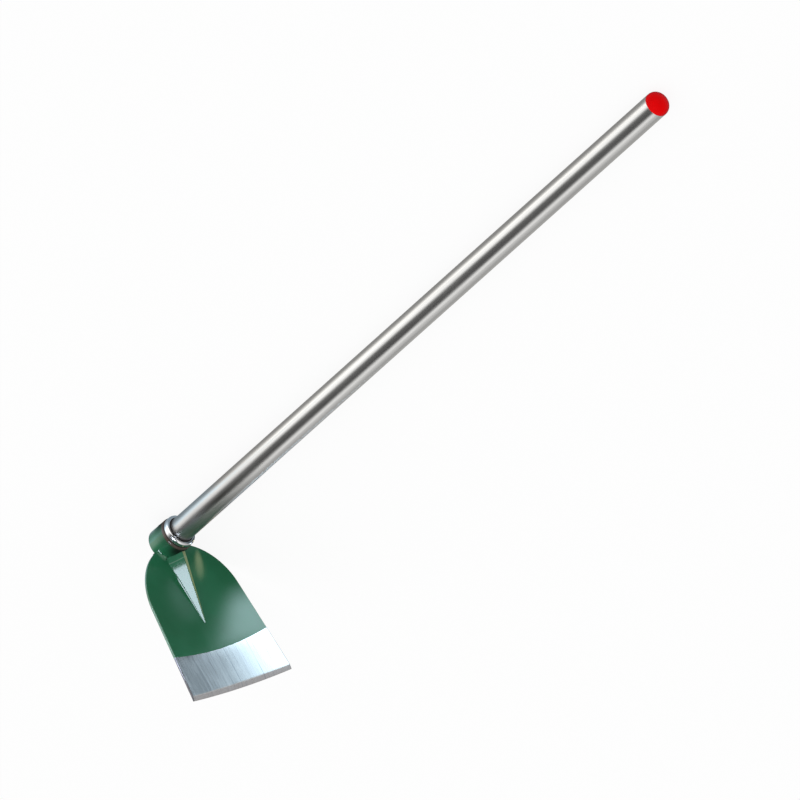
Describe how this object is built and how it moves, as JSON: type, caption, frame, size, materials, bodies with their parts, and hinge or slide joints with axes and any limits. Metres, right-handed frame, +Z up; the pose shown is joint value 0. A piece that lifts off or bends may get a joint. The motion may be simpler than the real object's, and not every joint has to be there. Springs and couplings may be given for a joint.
{
  "type": "hand hoe",
  "caption": "Long-handled eye hoe: broad round-shouldered steel blade with a ground edge, welded eye with a ridge rib, steel tube handle and domed end cap.",
  "frame": {"origin": "on the floor, under the middle of the hoe's bounding box as it lies", "axes": "+X along the handle from the head to the end cap, +Z up from the floor it lies on, -Y the side that the blade leans to, with its cutting edge pointing up"},
  "size_m": [1.0631, 0.2297, 0.2265],
  "materials": {
    "green_paint": "gloss green paint on steel; the blade's last 55 to 60 mm is ground bare",
    "bright_steel": "polished steel",
    "black_packing": "matt black",
    "brushed_stainless": "brushed along the tube",
    "hardwood": "plain turned hardwood",
    "dark_steel": "dull dark steel",
    "red_plastic": "glossy red moulded plastic"
  },
  "bodies": {
    "root": {"blade": "green_paint", "rib": "green_paint", "eye": "green_paint", "front_weld": "green_paint", "back_weld": "green_paint", "collar": "bright_steel", "packing": "black_packing", "handle_tube": "brushed_stainless", "handle_core": "hardwood", "core_wedge": "dark_steel", "lock_screw": "dark_steel", "end_cap": "red_plastic"}
  },
  "joints": []
}
